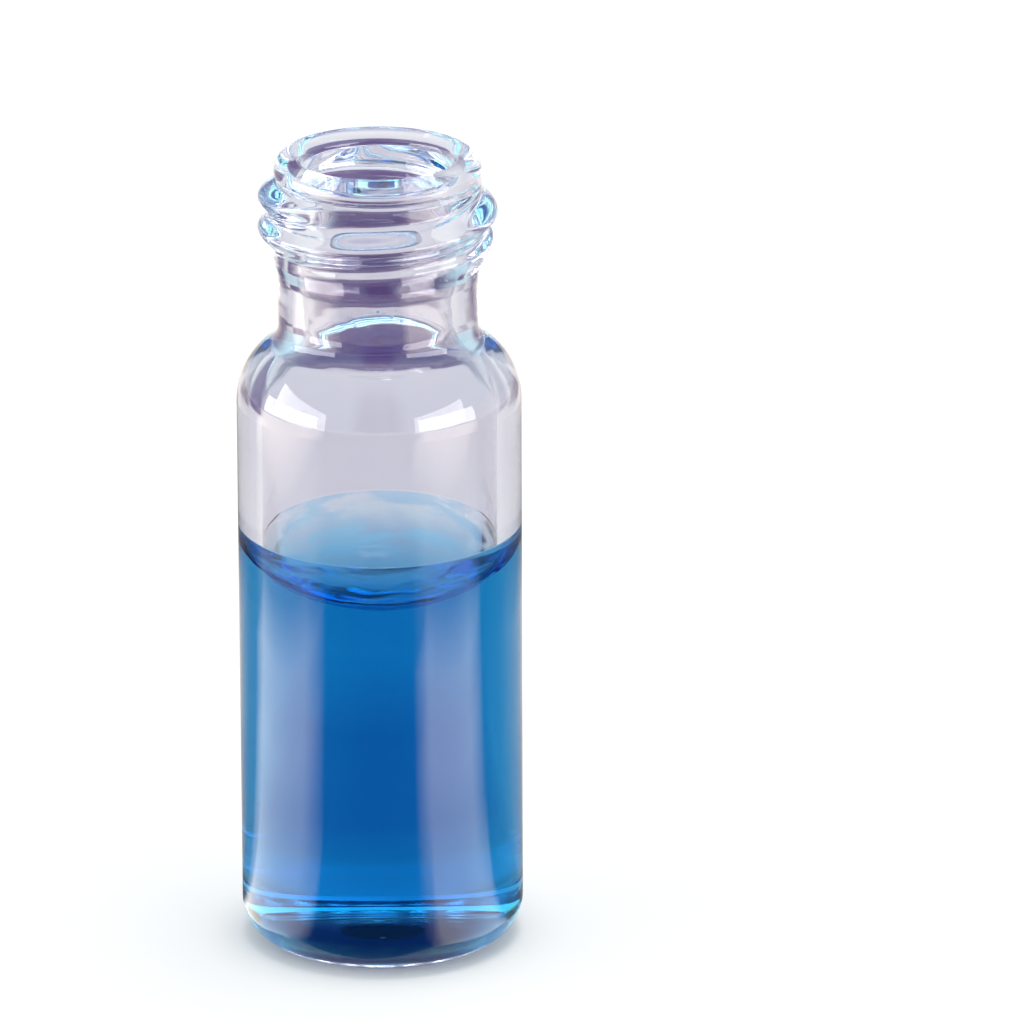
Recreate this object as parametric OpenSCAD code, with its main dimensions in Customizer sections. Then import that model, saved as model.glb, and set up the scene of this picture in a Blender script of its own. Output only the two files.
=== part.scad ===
// Small screw-neck sample vial, formed in one piece from glass tube, with a liquid sample in it.
// Millimetres, +Z up along the vial's axis, origin at the centre of the foot that it stands on.
// The section is drawn once, from arcs that run into each other, and turned about the axis.
// Only the thread isn't round: its surface is a height above the neck, worked out turn by turn.

/* [Body] */
// Outer diameter of the tube that the vial is made from
body_d = 11.6; // [10.6:0.1:14]
// Wall of the tube
wall = 1.0; // [0.7:0.05:1.4]
// Overall height, foot to rim
total_h = 33.6; // [28:0.1:45]

/* [Base] */
// Radius of the heel, where wall and foot meet outside
heel_r = 1.6; // [0.8:0.1:2.2]
// Thickness of the base where it meets the corner
base_t = 0.55; // [0.5:0.05:1.5]
// Radius of the corner inside the base
corner_r = 1; // [0.6:0.1:2.2]
// How far the middle of the base is pushed up underneath
push_up = 0.3; // [0.1:0.05:0.4]
// Width of the flat foot ring between heel and push-up
foot_w = 0.4; // [0.2:0.05:1]
// How far the floor inside crowns up in the middle
floor_crown = 0.2; // [0.15:0.05:0.8]

/* [Shoulder and neck] */
// Height from the start of the shoulder to the rim
finish_h = 10.4; // [9:0.05:12]
// Radius of the shoulder's bulging arc, outside and inside
shoulder_r = 2.9; // [1.9:0.1:3.4]
// How much lower that arc starts inside than outside
shoulder_drop = 0.25; // [0:0.05:0.5]
// Radius of the hollow curve between shoulder and neck
neck_curve_r = 1.1; // [0.5:0.1:1.8]
// Radius of the same curve inside the vial
throat_r = 2.1; // [1:0.1:2.8]
// Outer diameter of the neck
neck_d = 8.1; // [7.6:0.05:8.3]
// Diameter of the mouth and of the straight bore below it
mouth_d = 6.06; // [5:0.02:6.6]
// Outer diameter of the fire-polished bead round the mouth
rim_d = 8.46; // [8.2:0.02:8.9]

/* [Thread] */
// Diameter over the crests of the thread
thread_d = 9.72; // [9.2:0.02:10.4]
// Diameter at the root, clear of any turn
thread_root_d = 8.4; // [8.34:0.02:8.8]
// Rise of one turn
thread_pitch = 1.33; // [1.1:0.01:1.5]
// Number of turns, run-in and run-out included
thread_turns = 2.3; // [1.4:0.05:2.5]
// Height of the rim above the crest where the thread starts
thread_drop = 4.5; // [4.2:0.05:5]
// Direction from the axis in which the thread starts, in degrees
thread_start = 150; // [0:5:355]
// Part of a turn over which the thread grows to full height
run_in = 0.8; // [0.2:0.05:1]
// Part of a turn over which it fades out
run_out = 0.22; // [0.1:0.02:0.4]

/* [Liquid] */
// Height of the line where the liquid meets the wall
fill_h = 17.7; // [9:0.1:20]
// Height of that line above the middle of the surface
meniscus_rise = 2.9; // [2.5:0.05:3.2]
// Radius of the surface where it turns up to the wall, as a share of what would leave its middle flat
meniscus_round = 0.855; // [0.6:0.005:0.95]
// Angle between surface and wall
contact_angle = 13; // [10:1:25]

/* [Hidden] */
$fn = 120;

// Body and base
body_r = body_d / 2;
cavity_r = body_r - wall;
foot_inner_r = body_r - heel_r - foot_w;
floor_r = cavity_r - corner_r;

// Shoulder and neck. Two arcs that touch: the first bulges, the second is hollow.
shoulder_z = total_h - finish_h;
shoulder_x = body_r - shoulder_r;
neck_r = neck_d / 2;
mouth_r = mouth_d / 2;
neck_curve_x = neck_r + neck_curve_r;
neck_curve_z = shoulder_z + arc_rise(shoulder_r + neck_curve_r, neck_curve_x - shoulder_x);
cavity_shoulder_x = cavity_r - shoulder_r;
cavity_shoulder_z = shoulder_z - shoulder_drop;
throat_x = mouth_r + throat_r;
throat_z = cavity_shoulder_z + arc_rise(shoulder_r + throat_r, throat_x - cavity_shoulder_x);

// The bead is a full round that starts flush with the bore
bead_r = (rim_d / 2 - mouth_r) / 2;
bead_z = total_h - bead_r;

// Thread
thread_r = thread_d / 2;
thread_root_r = thread_root_d / 2;
thread_base_z = total_h - thread_drop;
turn_width = 1.5 * thread_pitch;
collar_low_z = thread_base_z - turn_width / 2;
collar_high_z = bead_z - bead_r / 4;
collar_end_r = neck_r - bead_r / 2;
collar_bore_r = mouth_r + bead_r / 2;
low_slope = 0.5;
high_slope = 1.3;
collar_rows = 28;
collar_columns = 72;

// Liquid surface: a shallow bowl round the axis, then a smaller round that climbs the wall
meniscus_r = meniscus_round * meniscus_rise / (1 - sin(contact_angle));
edge_round_x = cavity_r - meniscus_r * cos(contact_angle);
edge_round_up = meniscus_r * sin(contact_angle);
surface_low_z = fill_h - meniscus_rise;
bowl_r = (pow(edge_round_x, 2) + pow(meniscus_rise + edge_round_up, 2) - pow(meniscus_r, 2))
    / (2 * (meniscus_rise + edge_round_up - meniscus_r));

// Rise between the centres of two touching arcs, from their distance and their offset
function arc_rise(distance, offset) = sqrt(pow(distance, 2) - pow(offset, 2));

// Radius of a sphere that bulges by rise over a disc of radius half
function dome_r(half, rise) = (pow(half, 2) + pow(rise, 2)) / (2 * rise);

// Height of the ridge along the thread, from 0 at both ends to 1
function ridge_share(turn) =
    turn <= 0 || turn >= thread_turns ? 0 :
    min(1, turn / run_in, (thread_turns - turn) / run_out);

// Round-topped ridge, from 1 at its crest to 0 at half of its width away
function ridge_shape(offset) =
    abs(offset) >= turn_width / 2 ? 0 : pow(cos(180 * offset / turn_width), 2);

// Sum of a list's numbers
function total(list, i = 0) = i < len(list) ? list[i] + total(list, i + 1) : 0;

// Neighbouring turns run together into waves, so the ridges of all turns are added up
function thread_height(angle, z) =
    let (first = (angle - thread_start) / 360)
    total([for (k = [0 : ceil(thread_turns) + 1])
        let (turn = first + k)
        ridge_share(turn) * ridge_shape(z - thread_base_z - turn * thread_pitch)]);

// Outer radius of the threaded part, which dives into the neck at its two ends
function collar_r(angle, z) = min(
    thread_root_r + (thread_r - thread_root_r) * min(1, thread_height(angle, z)),
    collar_end_r + low_slope * (z - collar_low_z),
    collar_end_r + high_slope * (collar_high_z - z));

// Disc in the half section: a full round once it is turned about the axis
module ring_point(x, z, r) {
    translate([x, z]) circle(r);
}

// Half section of the outside, filled in to the axis and without the bead
module outside_section() {
    difference() {
        union() {
            square([body_r - heel_r, shoulder_z]);
            translate([0, heel_r]) square([body_r, shoulder_z - heel_r]);
            ring_point(body_r - heel_r, heel_r, heel_r);
            shoulder_section(shoulder_x, shoulder_z, neck_curve_x, neck_curve_z, neck_curve_r, neck_r);
            translate([0, neck_curve_z]) square([neck_r, bead_z - neck_curve_z]);
        }
        dome_section(foot_inner_r, push_up, 0);
    }
}

// Half section of the space inside, up to the rim
module cavity_section() {
    difference() {
        union() {
            translate([0, base_t]) square([floor_r, cavity_shoulder_z - base_t]);
            translate([0, base_t + corner_r])
                square([cavity_r, cavity_shoulder_z - base_t - corner_r]);
            ring_point(floor_r, base_t + corner_r, corner_r);
            shoulder_section(
                cavity_shoulder_x, cavity_shoulder_z, throat_x, throat_z, throat_r, mouth_r
            );
            translate([0, throat_z]) square([mouth_r, total_h - throat_z]);
        }
        dome_section(floor_r, floor_crown, base_t);
    }
}

// Bulging arc of the shoulder that runs into the hollow arc below the neck
module shoulder_section(round_x, round_z, curve_x, curve_z, curve_r, end_r) {
    touch = shoulder_r / (shoulder_r + curve_r);
    touch_x = round_x + touch * (curve_x - round_x);
    touch_z = round_z + touch * (curve_z - round_z);
    intersection() {
        ring_point(round_x, round_z, shoulder_r);
        translate([0, round_z]) square(round_x + shoulder_r);
    }
    difference() {
        polygon([
            [0, round_z], [round_x, round_z], [touch_x, touch_z],
            [curve_x, curve_z], [end_r, curve_z], [0, curve_z]
        ]);
        ring_point(curve_x, curve_z, curve_r);
    }
}

// Cap of a sphere that stands on the disc of radius half at height z
module dome_section(half, rise, z) {
    ring_point(0, z + rise - dome_r(half, rise), dome_r(half, rise));
}

// Half section of the air above the liquid, down to its curved surface
module air_section() {
    bowl_z = surface_low_z + bowl_r;
    edge_round_z = fill_h + edge_round_up;
    reach = 1.1 * bowl_r / (bowl_r - meniscus_r);
    intersection() {
        ring_point(0, bowl_z, bowl_r);
        polygon([
            [0, bowl_z], [0, bowl_z - 1.1 * bowl_r],
            [reach * edge_round_x, bowl_z + reach * (edge_round_z - bowl_z)]
        ]);
    }
    ring_point(edge_round_x, edge_round_z, meniscus_r);
}

// Thread and the thicker wall under it, as a sleeve that is sunk into the neck
module thread_collar() {
    step_z = (collar_high_z - collar_low_z) / collar_rows;
    step_a = 360 / collar_columns;
    n = collar_columns;
    heights = [for (i = [0 : collar_rows]) collar_low_z + i * step_z];
    outside = [for (z = heights, j = [0 : n - 1])
        let (a = j * step_a, r = collar_r(a, z)) [r * cos(a), r * sin(a), z]];
    inside = [for (z = [collar_low_z, collar_high_z], j = [0 : n - 1])
        let (a = j * step_a) [collar_bore_r * cos(a), collar_bore_r * sin(a), z]];
    top = collar_rows * n;
    bore_low = top + n;
    bore_high = bore_low + n;
    waves = [for (i = [0 : collar_rows - 1], j = [0 : n - 1], half = [0, 1])
        let (a = i * n + j, b = i * n + (j + 1) % n)
        half == 0 ? [a, a + n, b + n] : [a, b + n, b]];
    ends_and_bore = [for (j = [0 : n - 1])
        let (k = (j + 1) % n)
        each [
            [j, k, bore_low + k, bore_low + j],
            [bore_low + j, bore_low + k, bore_high + k, bore_high + j],
            [bore_high + j, bore_high + k, top + k, top + j]
        ]];
    polyhedron(points = concat(outside, inside), faces = concat(waves, ends_and_bore));
}

// One piece of glass: base, body, shoulder, neck, bead and thread
module glass_vial() {
    color([0.86, 0.93, 0.96, 0.45]) union() {
        rotate_extrude() {
            difference() {
                outside_section();
                cavity_section();
            }
            ring_point(mouth_r + bead_r, bead_z, bead_r);
        }
        thread_collar();
    }
}

// Liquid that fills the cavity to the meniscus
module sample_liquid() {
    color([0.04, 0.38, 0.78, 0.85]) rotate_extrude() difference() {
        intersection() {
            cavity_section();
            square([body_r, fill_h]);
        }
        air_section();
    }
}

glass_vial();
sample_liquid();
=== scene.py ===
import math

import bmesh
import bpy
import numpy as np
from mathutils import Matrix, Vector


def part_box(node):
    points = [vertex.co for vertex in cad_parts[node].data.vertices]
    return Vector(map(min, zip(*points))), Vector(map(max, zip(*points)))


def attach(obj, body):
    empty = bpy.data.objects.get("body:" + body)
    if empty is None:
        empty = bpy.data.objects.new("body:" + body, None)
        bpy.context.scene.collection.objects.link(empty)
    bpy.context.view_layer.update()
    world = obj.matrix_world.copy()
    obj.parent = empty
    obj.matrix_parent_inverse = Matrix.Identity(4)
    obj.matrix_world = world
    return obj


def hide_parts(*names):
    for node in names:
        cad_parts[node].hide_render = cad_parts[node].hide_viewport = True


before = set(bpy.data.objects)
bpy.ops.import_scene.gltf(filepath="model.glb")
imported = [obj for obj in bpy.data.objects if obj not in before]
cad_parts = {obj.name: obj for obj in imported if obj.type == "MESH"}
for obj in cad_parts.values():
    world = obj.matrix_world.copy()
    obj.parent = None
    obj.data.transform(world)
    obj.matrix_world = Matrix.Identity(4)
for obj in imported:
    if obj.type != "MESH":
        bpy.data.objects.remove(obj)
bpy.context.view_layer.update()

MM = 0.001


# ---------------------------------------------------------------------------------------------
# The vial: one piece of clear borosilicate tube. Base, shoulder, neck, thread and the round bead
# at the mouth are formed hot from the tube, so every edge is soft and the wall runs through them.

vial_low, vial_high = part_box("glass_vial")
liquid_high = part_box("sample_liquid")[1]

total_h = vial_high.z / MM
body_r = (vial_high.x - vial_low.x) / 2 / MM
fill_h = liquid_high.z / MM
wall = 1.0
cavity_r = body_r - wall

# Base
heel_r = 1.6
base_t = 0.55
corner_r = 1.0
push_up = 0.3
foot_w = 0.4
floor_crown = 0.2
foot_inner_r = body_r - heel_r - foot_w
floor_r = cavity_r - corner_r

# Shoulder and neck: a bulging arc that touches a hollow one, outside and inside
finish_h = 10.4
shoulder_r = 2.9
shoulder_drop = 0.25
neck_curve_r = 1.1
throat_r = 2.1
neck_r = 4.05
mouth_r = 3.03
shoulder_z = total_h - finish_h
shoulder_x = body_r - shoulder_r
cavity_shoulder_x = cavity_r - shoulder_r
cavity_shoulder_z = shoulder_z - shoulder_drop

# Bead
rim_r = 4.23
bead_r = (rim_r - mouth_r) / 2
bead_x = mouth_r + bead_r
bead_z = total_h - bead_r

# Thread
thread_r = 4.86
thread_root_r = 4.2
thread_pitch = 1.33
thread_turns = 2.3
thread_drop = 4.5
thread_base_z = total_h - thread_drop
thread_start = math.radians(150)
thread_run_in = 0.8
thread_run_out = 0.22
turn_width = 1.5 * thread_pitch
collar_low_z = thread_base_z - turn_width / 2
collar_high_z = bead_z - bead_r / 4
collar_end_r = neck_r - bead_r / 2
low_slope = 0.5
high_slope = 1.3
fire_polish = 0.16

# Traces of the hot forming: height of the slow waver and of the fine relief, and how far up from the
# shoulder and down to the heel they set in
waver_height = 0.03
relief_height = 0.014
formed_rise = 3.0
heel_relief_from = 2.2
heel_relief_to = 1.2

# Fineness of the mesh: columns round the axis, rows along the thread, and the short first stretch that
# keeps a straight wall straight when it is shaded
columns = 256
thread_row = 0.06
ease = 0.04


def arc(centre, radius, start, end, step=5):
    """Points of an arc about step degrees apart, from start to end degrees."""
    count = max(2, round(abs(end - start) / step))
    turns = [math.radians(start + (end - start) * i / count) for i in range(count + 1)]
    return [(centre[0] + radius * math.cos(t), centre[1] + radius * math.sin(t)) for t in turns]


def straight(start, end, step):
    """Points of a straight stretch, with one close to each end so that it stays straight when shaded."""
    length = math.dist(start, end)
    count = max(1, round((length - 2 * ease) / step))
    shares = [ease / length + (1 - 2 * ease / length) * i / count for i in range(count + 1)]
    return [tuple(a + (b - a) * s for a, b in zip(start, end)) for s in shares]


def dome(half, rise, z, grow=0.0, step=1.0):
    """Points of a shallow dome from the axis to its edge; grow moves it out along its normals."""
    radius = (half ** 2 + rise ** 2) / (2 * rise)
    edge = math.degrees(math.asin(half / radius))
    return arc((0, z + rise - radius), radius + grow, 90, 90 - edge, step)


def heading(start, end):
    """Direction from start to end, in degrees."""
    return math.degrees(math.atan2(end[1] - start[1], end[0] - start[0]))


def shoulder(round_x, round_z, curve_r, end_r):
    """Points of the bulging arc and of the hollow arc that runs on into the neck, from below."""
    curve_x = end_r + curve_r
    rise = math.sqrt((shoulder_r + curve_r) ** 2 - (curve_x - round_x) ** 2)
    round_centre = (round_x, round_z)
    curve_centre = (curve_x, round_z + rise)
    touch = heading(round_centre, curve_centre)
    hollow = arc(curve_centre, curve_r, touch + 180, 180, 4)
    return arc(round_centre, shoulder_r, 0, touch, 3) + hollow[1:]


def ridge_share(turn):
    """Height of the thread's ridge along its turns, from 0 at both ends to 1."""
    share = np.minimum(np.minimum(1, turn / thread_run_in), (thread_turns - turn) / thread_run_out)
    share = np.clip(share, 0, 1)
    return share * share * (3 - 2 * share)


def ridge_shape(offset):
    """Round-topped ridge, from 1 at its crest to 0 at half of its width away."""
    shape = np.cos(np.pi * offset / turn_width) ** 2
    return np.where(np.abs(offset) >= turn_width / 2, 0, shape)


def soft_max(a, b, width):
    """The larger of two radii, with the corner between them melted over width."""
    near = np.maximum(width - np.abs(a - b), 0) / width
    return np.maximum(a, b) + near * near * width / 4


def soft_min(a, b, width):
    """The smaller of two radii, with the corner between them melted over width."""
    return -soft_max(-a, -b, width)


def finish_radius(angles, x, z):
    """Radii of a ring at height z of the finish, where the thread stands out of a neck of radius x."""
    height = 0
    for k in range(math.ceil(thread_turns) + 2):
        turn = (angles - thread_start) / math.tau + k
        height = height + ridge_share(turn) * ridge_shape(z - thread_base_z - turn * thread_pitch)
    crest = thread_root_r + (thread_r - thread_root_r) * np.minimum(1, height)
    low_end = collar_end_r + low_slope * (z - collar_low_z)
    high_end = collar_end_r + high_slope * (collar_high_z - z)
    return soft_max(x, soft_min(crest, min(low_end, high_end), fire_polish), fire_polish)


def turned(name, outline, radius=None):
    """Closed mesh of a half section turned about Z. radius gives a ring's radii where it isn't round."""
    angles = np.arange(columns) * math.tau / columns
    points = []
    rings = []
    for x, z in outline:
        first = len(points)
        if x < 1e-6:
            points.append((0, 0, z * MM))
            rings.append([first] * columns)
            continue
        radii = np.full(columns, x) if radius is None else radius(angles, x, z)
        points += [(r * math.cos(a) * MM, r * math.sin(a) * MM, z * MM) for r, a in zip(radii, angles)]
        rings.append(list(range(first, first + columns)))
    faces = []
    for low, high in zip(rings, rings[1:]):
        for j in range(columns):
            k = (j + 1) % columns
            # A ring on the axis is one point, so a face that meets it has one corner less
            corners = dict.fromkeys((low[j], low[k], high[k], high[j]))
            faces.append(tuple(corners))
    mesh = bpy.data.meshes.new(name)
    mesh.from_pydata(points, [], faces)
    mesh.shade_smooth()
    obj = bpy.data.objects.new(name, mesh)
    bpy.context.scene.collection.objects.link(obj)
    return obj


def mark_faces(obj, name, outline, wanted):
    """Face attribute that is 1 where wanted(x, z) holds in the middle of the outline's stretch."""
    marks = []
    for (x0, z0), (x1, z1) in zip(outline, outline[1:]):
        marks += [float(wanted((x0 + x1) / 2, (z0 + z1) / 2))] * columns
    layer = obj.data.attributes.new(name, "FLOAT", "FACE")
    layer.data.foreach_set("value", marks)


outside = dome(foot_inner_r, push_up, 0)
outside += straight((foot_inner_r, 0), (body_r - heel_r, 0), 0.1)
outside += arc((body_r - heel_r, heel_r), heel_r, -90, 0)
outside += straight((body_r, heel_r), (body_r, shoulder_z), 1)
outside += shoulder(shoulder_x, shoulder_z, neck_curve_r, neck_r)
neck_top = (neck_r, bead_z - math.sqrt(bead_r ** 2 - (neck_r - bead_x) ** 2))
outside += straight(outside[-1], neck_top, thread_row)
outside += arc((bead_x, bead_z), bead_r, heading((bead_x, bead_z), neck_top), 180, 4)

inner_shoulder = shoulder(cavity_shoulder_x, cavity_shoulder_z, throat_r, mouth_r)
inside = straight((mouth_r, bead_z), inner_shoulder[-1], 0.5)
inside += inner_shoulder[::-1]
inside += straight((cavity_r, cavity_shoulder_z), (cavity_r, fill_h), 1)
inside += [(cavity_r, fill_h)]
inside += straight((cavity_r, fill_h), (cavity_r, base_t + corner_r), 1)
inside += arc((floor_r, base_t + corner_r), corner_r, 0, -90)
inside += dome(floor_r, floor_crown, base_t)[::-1][1:]

vial_outline = outside + inside


def growth(value, start, stretch):
    """Share that grows from 0 where a value passes start to 1 a stretch further on."""
    return min(1, max(0, (value - start) / stretch))


def waver(angles, z):
    """Slow unevenness that hot forming leaves in the round, from -1 to 1."""
    oval = np.sin(2 * angles + 0.5 * z)
    three_sided = np.sin(3 * angles - 1.3 * z + 1)
    five_sided = np.sin(5 * angles + 0.9 * z + 4)
    return (oval + three_sided + five_sided) / 3


def vial_radius(angles, x, z):
    """Radii of a ring: the thread stands out of the neck, and what was formed hot wavers a little."""
    formed = growth(z, shoulder_z, formed_rise)
    if x < neck_r - 1e-6 and z < bead_z or z > bead_z or z < collar_low_z - 1:
        radii = np.full(columns, x)
    else:
        radii = finish_radius(angles, x, z)
    inner = x < mouth_r + wall / 2 or z < shoulder_z + 2 and x < cavity_r
    # Inside, the waver is turned by a radian, so that the wall varies in thickness too
    turned_by = 1 if inner else 0
    return radii + formed * waver_height * waver(angles + turned_by, z)


def is_wetted(x, z):
    """Whether the liquid lies against the glass here."""
    return x < body_r - wall / 2 and base_t / 2 < z < fill_h


vial = turned("vial", vial_outline, vial_radius)
mark_faces(vial, "wetted", vial_outline, is_wetted)


class Signal:
    """A shader socket that takes part in arithmetic: each operation adds its Math node."""

    def __init__(self, finish, socket):
        self.finish = finish
        self.socket = socket

    def maths(self, operation, first, second):
        return self.finish.node("ShaderNodeMath", {"operation": operation}, {0: first, 1: second})

    def __add__(self, other):
        return self.maths("ADD", self, other)

    def __radd__(self, other):
        return self.maths("ADD", other, self)

    def __mul__(self, other):
        return self.maths("MULTIPLY", self, other)

    def __rmul__(self, other):
        return self.maths("MULTIPLY", other, self)


class Finish:
    """A node tree that is filled from nothing."""

    def __init__(self, owner):
        owner.use_nodes = True
        self.tree = owner.node_tree
        self.tree.nodes.clear()

    def node(self, kind, settings=None, sockets=None, output=0):
        """Adds a node, sets it up, gives its sockets values or links, and returns one of its outputs."""
        node = self.tree.nodes.new(kind)
        for name, value in (settings or {}).items():
            if name == "stops":
                for place, colour in value[2:]:
                    node.color_ramp.elements.new(place)
                for element, (place, colour) in zip(node.color_ramp.elements, value):
                    element.position = place
                    element.color = (*colour, 1)
            else:
                setattr(node, name, value)
        for key, value in (sockets or {}).items():
            if isinstance(value, Signal):
                self.tree.links.new(value.socket, node.inputs[key])
            else:
                node.inputs[key].default_value = value
        return Signal(self, node.outputs[output]) if len(node.outputs) else None


def absorbing(finish, red, green, blue):
    """Volume that takes red, green and blue away at these rates for each metre."""
    density = max(red, green, blue)
    passed = [1 - rate / density for rate in (red, green, blue)]
    return finish.node("ShaderNodeVolumeAbsorption", {}, {"Color": (*passed, 1), "Density": density})


def clear(finish, ior, **sockets):
    """Principled shader of a clear body with this index against what it meets."""
    values = {"Base Color": (1, 1, 1, 1), "Roughness": 0.0, "IOR": ior, "Transmission Weight": 1.0}
    values.update(sockets)
    return finish.node("ShaderNodeBsdfPrincipled", {}, values)


glass_ior = 1.5
liquid_ior = 1.333
glass_tint = (0.82, 0.80, 0.845, 1)

glass = bpy.data.materials.new("clear_glass")
finish = Finish(glass)
wetted = finish.node("ShaderNodeAttribute", {"attribute_name": "wetted"}, {}, "Fac")
place = finish.node("ShaderNodeTexCoord", {}, {}, "Object")
above = finish.node("ShaderNodeSeparateXYZ", {}, {0: place}, "Z")
neck_share = finish.node("ShaderNodeMapRange", {"interpolation_type": "SMOOTHSTEP"}, {
    "Value": above, "From Min": shoulder_z * MM, "From Max": (shoulder_z + formed_rise) * MM,
})
base_share = finish.node("ShaderNodeMapRange", {"interpolation_type": "SMOOTHSTEP"}, {
    "Value": above, "From Min": heel_relief_from * MM, "From Max": heel_relief_to * MM,
})
drawn_out = {0: place, 1: (1, 1, 0.04)}
drawn_out = finish.node("ShaderNodeVectorMath", {"operation": "MULTIPLY"}, drawn_out, "Vector")
drawn = finish.node("ShaderNodeTexNoise", {}, {"Vector": drawn_out, "Scale": 1600, "Detail": 2})
pressed = {0: place, 1: (1, 1, 2.4)}
pressed = finish.node("ShaderNodeVectorMath", {"operation": "MULTIPLY"}, pressed, "Vector")
formed = finish.node("ShaderNodeTexNoise", {}, {
    "Vector": pressed, "Scale": 420, "Detail": 1, "Distortion": 0.4,
})
relief = 0.12 * drawn + (neck_share + base_share) * formed
uneven = finish.node("ShaderNodeBump", {}, {
    "Strength": 1.0, "Distance": relief_height * MM, "Height": relief,
})
skin = {"Base Color": glass_tint, "Normal": uneven}
dry_face = clear(finish, glass_ior, **skin)
wet_face = clear(finish, glass_ior / liquid_ior, **skin)
surface = finish.node("ShaderNodeMixShader", {}, {0: wetted, 1: dry_face, 2: wet_face})
body = absorbing(finish, red=5, green=5.5, blue=2.5)
finish.node("ShaderNodeOutputMaterial", {}, {"Surface": surface, "Volume": body})
vial.data.materials.append(glass)

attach(vial, "root")
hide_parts("glass_vial")


# ---------------------------------------------------------------------------------------------
# The liquid: a clear watery blue sample that fills the vial to a little over half of its height.
# It wets the glass, so its surface is a shallow bowl that climbs the wall in a small round.

# Sizes of the surface, and the clearance that keeps its mesh off the glass
gap = 0.01
meniscus_rise = 2.9
meniscus_round = 0.855
contact_angle = math.radians(13)
meniscus_r = meniscus_round * meniscus_rise / (1 - math.sin(contact_angle))
surface_low_z = fill_h - meniscus_rise
edge_centre = (
    cavity_r - meniscus_r * math.cos(contact_angle),
    fill_h + meniscus_r * math.sin(contact_angle),
)
edge_up = edge_centre[1] - surface_low_z
bowl_r = (edge_centre[0] ** 2 + edge_up ** 2 - meniscus_r ** 2) / (2 * (edge_up - meniscus_r))
bowl_centre = (0, surface_low_z + bowl_r)

liquid_r = cavity_r - gap
bowl_edge = heading(bowl_centre, edge_centre)
wall_edge = -math.degrees(math.acos((liquid_r - edge_centre[0]) / meniscus_r))
surface_outline = arc(edge_centre, meniscus_r, wall_edge, bowl_edge, 3)
surface_outline += arc(bowl_centre, bowl_r, bowl_edge, -90, 1)[1:]
contact_z = surface_outline[0][1]

liquid_outline = dome(floor_r, floor_crown, base_t, gap)
liquid_outline += arc((floor_r, base_t + corner_r), corner_r - gap, -90, 0)[1:]
liquid_outline += straight((liquid_r, base_t + corner_r), (liquid_r, contact_z), 1)
liquid_outline += surface_outline

# Where the surface climbs: height of its ripples, how far up from the bowl's middle they start, and how
# far up and away from the wall they grow; where the film starts, and how far down its edge is darker
ripple_height = 0.015
ripple_rise = 0.05
ripple_growth_up = 0.4
ripple_growth_away = 0.1
film_rise = 0.3
dark_edge = 0.3


def liquid_radius(angles, x, z):
    """Radii of a ring of the liquid: where its surface climbs the wall, it ripples a little."""
    up = growth(z, surface_low_z + ripple_rise, ripple_growth_up)
    away = growth(liquid_r - x, 0, ripple_growth_away)
    ripple = np.sin(7 * angles + 1) + np.sin(11 * angles + 2 * z) + np.sin(16 * angles - 3 * z)
    # Three sines reach 3 at most, so the ripples only draw the surface inwards, away from the glass
    return x + ripple_height * up * away * (ripple - 3)


def is_open(x, z):
    """Whether the liquid meets the air here."""
    return z > surface_low_z and x < liquid_r - 1e-6


def is_film(x, z):
    """Whether this is the part of the open surface that climbs the wall."""
    return is_open(x, z) and z > surface_low_z + film_rise


liquid = turned("liquid", liquid_outline, liquid_radius)
mark_faces(liquid, "open", liquid_outline, is_open)
mark_faces(liquid, "film", liquid_outline, is_film)
rim_first = 1 + columns * (len(liquid_outline) - len(surface_outline) - 1)
rim_points = set(range(rim_first, rim_first + columns))
for edge in liquid.data.edges:
    if rim_points.issuperset(edge.vertices):
        edge.use_edge_sharp = True

# The liquid's thin film hardly bends light, and has a paler blue than the depth
thin_film_ior = 1.02
thin_film_tint = (0.34, 0.71, 1, 1)
blue = bpy.data.materials.new("clear_blue_liquid")
finish = Finish(blue)
open_face = finish.node("ShaderNodeAttribute", {"attribute_name": "open"}, {}, "Fac")
film_face = finish.node("ShaderNodeAttribute", {"attribute_name": "film"}, {}, "Fac")
in_bowl = clear(finish, liquid_ior)
place = finish.node("ShaderNodeTexCoord", {}, {}, "Object")
level = finish.node("ShaderNodeVectorMath", {"operation": "MULTIPLY"}, {0: place, 1: (1, 1, 5)})
waves = {"Vector": level, "Scale": 320, "Detail": 2, "Distortion": 0.5}
waves = finish.node("ShaderNodeTexNoise", {}, waves, "Fac")
streaks = finish.node("ShaderNodeMapRange", {}, {
    0: waves, "From Min": 0.42, "From Max": 0.58, "To Min": 0.2, "To Max": 0.9,
})
above = finish.node("ShaderNodeSeparateXYZ", {}, {0: place}, "Z")
below_contact = finish.node("ShaderNodeMapRange", {}, {
    0: above, "From Min": (fill_h - dark_edge) * MM, "From Max": fill_h * MM,
    "To Min": 1, "To Max": 0.85,
})
# The climbing film shows what is behind it in level streaks, and between them it mirrors the depth
deep_film = clear(finish, liquid_ior)
thin_film = clear(finish, thin_film_ior, **{"Base Color": thin_film_tint})
in_film = {0: streaks * below_contact, 1: deep_film, 2: thin_film}
in_film = finish.node("ShaderNodeMixShader", {}, in_film)
in_air = finish.node("ShaderNodeMixShader", {}, {0: film_face, 1: in_bowl, 2: in_film})
on_glass = clear(finish, 1.0)
surface = finish.node("ShaderNodeMixShader", {}, {0: open_face, 1: on_glass, 2: in_air})
dye = absorbing(finish, red=600, green=152, blue=50)
finish.node("ShaderNodeOutputMaterial", {}, {"Surface": surface, "Volume": dye})
liquid.data.materials.append(blue)

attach(liquid, "root")
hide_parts("sample_liquid")


# ---------------------------------------------------------------------------------------------
# Condensed droplets: a few specks of clear water that have settled on the glass inside the throat,
# each a bead of a tenth of a millimetre or so.

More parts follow.
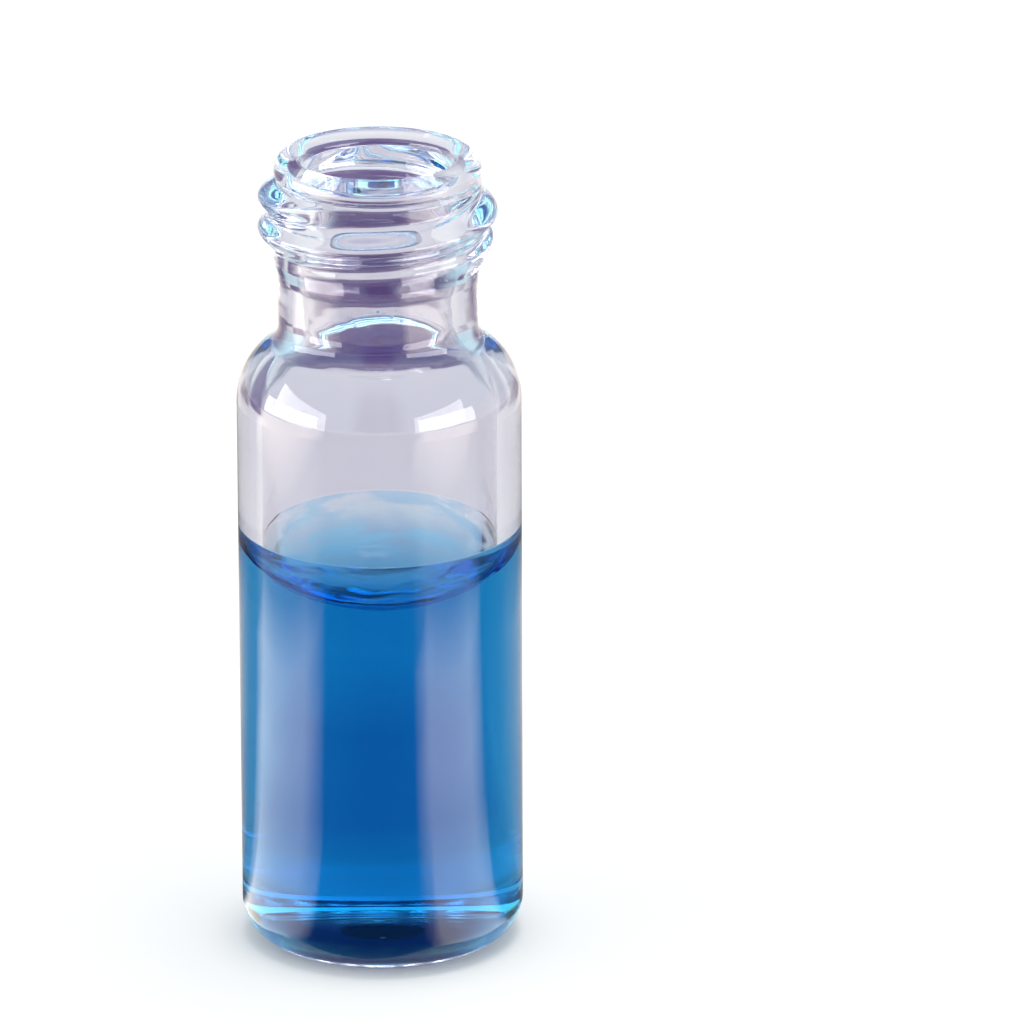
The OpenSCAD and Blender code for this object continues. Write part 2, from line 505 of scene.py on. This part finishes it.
# Azimuth, height above the start of the shoulder, and radius
droplets = (
    (150, 2.1, 0.05), (156, 2.7, 0.04), (163, 2.3, 0.07), (167, 2.9, 0.04), (171, 2.5, 0.09),
    (174, 2.0, 0.05), (178, 2.7, 0.06), (181, 2.2, 0.04), (184, 2.8, 0.08), (187, 2.4, 0.05),
    (190, 1.9, 0.06), (195, 2.6, 0.05), (201, 2.2, 0.08), (206, 2.7, 0.04), (214, 2.1, 0.05),
    (228, 2.5, 0.04),
)
# Keeps them clear of the glass, which wavers here
droplet_gap = 0.04
droplet_shape = bmesh.new()
wall_heights = [z for x, z in inner_shoulder]
wall_radii = [x for x, z in inner_shoulder]
for azimuth, rise, radius in droplets:
    z = shoulder_z + rise
    away = float(np.interp(z, wall_heights, wall_radii)) - 1.1 * radius - droplet_gap
    angle = math.radians(azimuth)
    place = Matrix.Translation((away * math.sin(angle) * MM, -away * math.cos(angle) * MM, z * MM))
    bmesh.ops.create_icosphere(droplet_shape, subdivisions=3, radius=radius * MM, matrix=place)
droplet_mesh = bpy.data.meshes.new("droplets")
droplet_shape.to_mesh(droplet_mesh)
droplet_shape.free()
droplet_mesh.shade_smooth()
mist = bpy.data.objects.new("droplets", droplet_mesh)
bpy.context.scene.collection.objects.link(mist)

water = bpy.data.materials.new("clear_water")
finish = Finish(water)
uneven_water = finish.node("ShaderNodeTexNoise", {}, {"Scale": 9000, "Detail": 2})
water_skin = finish.node("ShaderNodeBump", {}, {
    "Strength": 0.3, "Distance": 0.002 * MM, "Height": uneven_water,
})
speck = clear(finish, liquid_ior, **{"Base Color": (0.75, 0.93, 1.0, 1), "Normal": water_skin})
finish.node("ShaderNodeOutputMaterial", {}, {"Surface": speck})
droplet_mesh.materials.append(water)

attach(mist, "root")


# ---------------------------------------------------------------------------------------------
# Studio floor: a plain white sheet. It is white where the camera, a reflection or the glass shows
# it, and keeps the vial's shadow. Under and round the foot its glow is turned down, a painted shade.

floor_half = 2.5
floor_corners = [(x * floor_half, y * floor_half, 0) for x, y in ((-1, -1), (1, -1), (1, 1), (-1, 1))]
floor_mesh = bpy.data.meshes.new("floor")
floor_mesh.from_pydata(floor_corners, [], [(0, 1, 2, 3)])
floor = bpy.data.objects.new("floor", floor_mesh)
bpy.context.scene.collection.objects.link(floor)

# A little warm, so that it looks white in the pale blue light of the room
paper_white = (0.85, 0.78, 0.74, 1)
paper = bpy.data.materials.new("white_sheet")
finish = Finish(paper)
matt = finish.node("ShaderNodeBsdfDiffuse", {}, {"Color": paper_white})
glow = finish.node("ShaderNodeEmission", {}, {"Color": (1, 1, 1, 1), "Strength": 1.0})
seen = finish.node("ShaderNodeLightPath", {}, {}, "Is Camera Ray")
mirrored = finish.node("ShaderNodeLightPath", {}, {}, "Is Glossy Ray")
through = finish.node("ShaderNodeLightPath", {}, {}, "Is Transmission Ray")
share = finish.node("ShaderNodeMath", {"operation": "MAXIMUM"}, {0: seen, 1: mirrored})
share = finish.node("ShaderNodeMath", {"operation": "MAXIMUM"}, {0: share, 1: through})
# Painted shade: the glow fades under and round the foot, from a share of 0.6 beyond the vial to 0.1
# under it
place = finish.node("ShaderNodeTexCoord", {}, {}, "Object")
away = finish.node("ShaderNodeVectorMath", {"operation": "LENGTH"}, {0: place}, "Value")
lit = finish.node("ShaderNodeMapRange", {"interpolation_type": "SMOOTHSTEP"}, {
    "Value": away, "From Min": 0.8 * body_r * MM, "From Max": 1.4 * body_r * MM,
    "To Min": 0.1, "To Max": 0.6,
})
surface = finish.node("ShaderNodeMixShader", {}, {0: share * lit, 1: matt, 2: glow})
finish.node("ShaderNodeOutputMaterial", {}, {"Surface": surface})
floor_mesh.materials.append(paper)


# ---------------------------------------------------------------------------------------------
# Studio light: two low soft panels left and right of the vial and a lamp overhead, in a room that is
# violet before and behind and pale blue at the sides. Sheets round the vial paint the rest into the
# glass:
# seen only mirrored in it, painted reflections of pale cards beside it; seen only through it, painted
# light that the glass and its liquid gather round the foot, and painted shade further back, where the
# sheet falls into the dark.

def towards(azimuth, distance, height=0.0):
    """Point at a distance from the vial; azimuth 0 is at the camera and 90 on its right."""
    angle = math.radians(azimuth)
    return Vector((distance * math.sin(angle), -distance * math.cos(angle), height))


def soft_panel(name, place, aim, width, height, radiance):
    """White area lamp of this radiance, turned from its place to the point that it lights."""
    lamp = bpy.data.lights.new(name, "AREA")
    lamp.shape = "RECTANGLE"
    lamp.size = width
    lamp.size_y = height
    lamp.energy = radiance * math.pi * width * height
    panel = bpy.data.objects.new(name, lamp)
    panel.location = place
    panel.rotation_euler = (Vector(aim) - place).to_track_quat("-Z", "Y").to_euler()
    panel.visible_camera = False
    bpy.context.scene.collection.objects.link(panel)
    return panel


# How far above the floor the sheets of light lie
sheet_height = 0.01 * MM
mirrored_height = 0.02 * MM


def lying_sheet(name, rings, stops, colour, mirrored=False):
    """Sheet of light that lies round the vial, seen only through glass, or only mirrored in it.

    rings are distances from the axis in millimetres, with a share each. stops are azimuths with a share
    each, and some also stretch the distances. The two shares together are the strength at each point. A
    mirrored sheet glows as strongly as that out of black, and the others cover the floor by that share.
    """
    unstretched = (1,)
    stops = [(stop + unstretched)[:3] for stop in stops]
    count = len(stops)
    height = mirrored_height if mirrored else sheet_height
    points = []
    for distance, _ in rings:
        points += [towards(azimuth, distance * MM * stretch, height) for azimuth, _, stretch in stops]
    faces = [
        (i * count + j, (i + 1) * count + j, (i + 1) * count + j + 1, i * count + j + 1)
        for i in range(len(rings) - 1) for j in range(count - 1)
    ]
    mesh = bpy.data.meshes.new(name)
    mesh.from_pydata(points, [], faces)
    strengths = [near * share for _, near in rings for _, share, _ in stops]
    full = max(strengths) if mirrored else 1.0
    layer = mesh.attributes.new("lit", "FLOAT", "POINT")
    layer.data.foreach_set("value", [strength / full for strength in strengths])
    sheet = bpy.data.objects.new(name, mesh)
    bpy.context.scene.collection.objects.link(sheet)
    material = bpy.data.materials.new(name)
    finish = Finish(material)
    lit = finish.node("ShaderNodeAttribute", {"attribute_name": "lit"}, {}, "Fac")
    light = finish.node("ShaderNodeEmission", {}, {"Color": (*colour, 1), "Strength": full})
    if mirrored:
        unlit = finish.node("ShaderNodeEmission", {}, {"Strength": 0.0})
    else:
        unlit = finish.node("ShaderNodeBsdfTransparent")
    surface = finish.node("ShaderNodeMixShader", {}, {0: lit, 1: unlit, 2: light})
    finish.node("ShaderNodeOutputMaterial", {}, {"Surface": surface})
    material.cycles.emission_sampling = "NONE"
    mesh.materials.append(material)
    sheet.visible_camera = False
    sheet.visible_diffuse = False
    sheet.visible_shadow = False
    sheet.visible_glossy = mirrored
    sheet.visible_transmission = not mirrored


radiance = 7.0
panel_height = 0.13
left_width = 0.42
right_width = 0.38
overhead_width = 0.6
panel_distance = 0.40
panel_level = panel_height / 2
panel_aim = (0, 0, panel_level)
left_place = towards(-77, panel_distance, panel_level)
right_place = towards(58, panel_distance, panel_level)
overhead_place = Vector((0.1, 0.1, 1.2))
foot = (0, 0, 0)
soft_panel("left_panel", left_place, panel_aim, left_width, panel_height, radiance)
soft_panel("right_panel", right_place, panel_aim, right_width, panel_height, radiance)
overhead = soft_panel("overhead_lamp", overhead_place, foot, overhead_width, overhead_width, radiance)
overhead.visible_glossy = False

# Painted reflection of pale warm cards left and right of the vial: a sheet that glows only where the
# vial mirrors it, and is black in its reflections where it has no share
card_reflection_rings = (
    (7, 0.9), (24, 0.9), (30, 1.1), (42, 1.1), (52, 0.3), (67, 0.3), (78, 1.3), (300, 1.3),
)
card_reflection_stops = (
    (-170, 0.9), (-142, 0.55), (-127, 0.2), (-115, 0.2), (-104, 3.7), (-60, 3.7), (-42, 0),
    (25, 0), (37, 3.8), (72, 3.8), (86, 0.05), (105, 0.1), (120, 0.4), (150, 0.7), (170, 0.9),
)
lying_sheet("painted_card_reflections", card_reflection_rings, card_reflection_stops, (1.0, 0.89, 0.76), mirrored=True)

# Deep shade under the pushed-up base
foot_rings = ((0.1, 1), (2.0, 1), (2.4, 0))
foot_stops = [(azimuth, 1) for azimuth in range(0, 361, 15)]
lying_sheet("under_foot", foot_rings, foot_stops, (0.01, 0.03, 0.07))

# Light that the liquid gathers round the foot ring, weaker where the ring itself stands on it
behind_rings = (
    (2.4, 0), (2.7, 1), (3.6, 1), (3.7, 0.45), (4.4, 0.45), (4.5, 1), (5.0, 1), (5.3, 0),
)
behind_stops = [(112, 0), (128, 0.8)]
behind_stops += [(azimuth, 1) for azimuth in range(140, 221, 10)]
behind_stops += [(232, 0.8), (248, 0)]
lying_sheet("gathered_behind", behind_rings, behind_stops, (2.3, 4.8, 4.6))

before_rings = ((3.6, 0), (3.7, 0.5), (4.4, 0.5), (4.5, 1), (5.6, 1), (5.9, 0))
before_stops = [(-68, 0), (-62, 1), (-45, 1), (-30, 1), (-15, 0.6), (0, 0.6)]
before_stops += [(-azimuth, share) for azimuth, share in before_stops[-2::-1]]
lying_sheet("gathered_before", before_rings, before_stops, (1.9, 5.2, 4.2))

# Uneven glints just outside the foot
glint_rings = ((5.8, 0), (6.0, 1), (6.6, 1), (7.0, 0.3), (10, 0.3), (11, 0))
glint_stops = (
    (125, 0), (132, 0.5), (145, 1), (158, 0.4), (168, 0.8), (176, 0.3), (184, 0.7), (196, 1),
    (204, 0.45), (216, 1), (228, 0.6), (235, 0),
)
lying_sheet("glints_behind", glint_rings, glint_stops, (1.25, 1.8, 2.2))

# Shade of the vial on the sheet, the sheet's fall into the dark, and two darker patches in it
shade_rings = ((9, 0), (15, 0.45), (26, 0.45), (36, 0))
shade_stops = ((160, 0), (168, 0.7), (180, 1), (192, 0.7), (200, 0))
lying_sheet("shade_behind", shade_rings, shade_stops, (0.3, 0.22, 0.6))

dim_rings = ((35, 0), (52, 0.10), (70, 0.19), (2400, 0.35))
dim_stops = ((115, 0), (135, 0.7), (155, 1), (180, 1), (205, 1), (225, 1), (245, 0))
lying_sheet("dimmer_sheet", dim_rings, dim_stops, (0.26, 0.20, 0.42))

far_rings = ((71, 0), (79, 1), (2400, 1))
far_stops = (
    (118, 0, 1.5), (127, 0.4, 1.5), (140, 0.4, 1.5), (149, 0, 1.3), (156, 0.2), (164, 0.75),
    (170, 1), (180, 1), (190, 1), (196, 0.75), (204, 0.2), (211, 0, 1.3), (219, 0.9, 1.5),
    (236, 0.9, 1.5), (246, 0, 1.5),
)
lying_sheet("unlit_sheet", far_rings, far_stops, (0.15, 0.10, 0.28))

dark_rings = ((86, 0), (92, 1), (110, 1), (118, 0))
dark_stops = (
    (142, 0), (150, 0.5), (162, 0.5), (168, 0), (192, 0), (197, 0.95), (211, 0.95), (217, 0),
)
lying_sheet("dark_behind", dark_rings, dark_stops, (0.03, 0.03, 0.09))

room = bpy.data.worlds.new("room")
bpy.context.scene.world = room
finish = Finish(room)
direction = finish.node("ShaderNodeTexCoord", {}, {}, "Generated")
height = finish.node("ShaderNodeSeparateXYZ", {}, {0: direction}, "Z")
behind = finish.node("ShaderNodeValToRGB", {"stops": [
    (0.0, (0.15, 0.10, 0.28)),
    (0.70, (0.15, 0.12, 0.24)),
    (0.90, (0.80, 0.95, 1.0)),
]}, {0: height})
before = finish.node("ShaderNodeValToRGB", {"stops": [
    (0.0, (0.03, 0.02, 0.05)),
    (0.40, (0.06, 0.035, 0.10)),
    (0.75, (0.25, 0.24, 0.38)),
    (0.92, (0.80, 0.95, 1.0)),
]}, {0: height})
beside = finish.node("ShaderNodeValToRGB", {"stops": [
    (0.0, (0.80, 0.98, 1.05)),
    (0.50, (0.62, 1.0, 1.12)),
    (0.90, (0.80, 1.0, 1.10)),
]}, {0: height})
front = (0.13, -0.99, 0)
facing = {0: direction, 1: front}
facing = finish.node("ShaderNodeVectorMath", {"operation": "DOT_PRODUCT"}, facing, "Value")
facing = finish.node("ShaderNodeMapRange", {"interpolation_type": "SMOOTHSTEP"}, {
    "Value": facing, "From Min": -0.25, "From Max": 0.35,
})
level = {0: direction, 1: (1, 1, 0)}
level = finish.node("ShaderNodeVectorMath", {"operation": "MULTIPLY"}, level, "Vector")
level = finish.node("ShaderNodeVectorMath", {"operation": "NORMALIZE"}, {0: level}, "Vector")
sideways = finish.node("ShaderNodeSeparateXYZ", {}, {0: level}, "X")
sideways = finish.node("ShaderNodeMath", {"operation": "ABSOLUTE"}, {0: sideways})
sideways = finish.node("ShaderNodeMapRange", {"interpolation_type": "SMOOTHSTEP"}, {
    "Value": sideways, "From Min": 0.2, "From Max": 0.5,
})
colour = finish.node("ShaderNodeMix", {"data_type": "RGBA"}, {0: facing, 6: behind, 7: before}, 2)
colour = finish.node("ShaderNodeMix", {"data_type": "RGBA"}, {0: sideways, 6: colour, 7: beside}, 2)
background = finish.node("ShaderNodeBackground", {}, {"Color": colour, "Strength": 1.0})
finish.node("ShaderNodeOutputWorld", {}, {"Surface": background})


# ---------------------------------------------------------------------------------------------
# Camera: a long lens that looks down by about 19 degrees, so that it sees into the mouth. The vial
# stands left of the middle of the picture.

camera_distance = 0.409
camera_height = math.radians(19.35)
camera_roll = -0.003
target = Vector((5.395 * MM, 0, 18.252 * MM))
lens = bpy.data.cameras.new("camera")
lens.sensor_width = 36
lens.lens = 351.95
camera = bpy.data.objects.new("camera", lens)
offset = Vector((0, -math.cos(camera_height), math.sin(camera_height))) * camera_distance
aim = (-offset).to_track_quat("-Z", "Y").to_matrix().to_4x4()
camera.matrix_world = Matrix.Translation(target + offset) @ aim @ Matrix.Rotation(camera_roll, 4, "Z")
bpy.context.scene.collection.objects.link(camera)
bpy.context.scene.camera = camera

view = bpy.context.scene.view_settings
view.view_transform = "Standard"
cycles = bpy.context.scene.cycles
bounces = 96
cycles.max_bounces = bounces
cycles.transmission_bounces = bounces
cycles.glossy_bounces = bounces
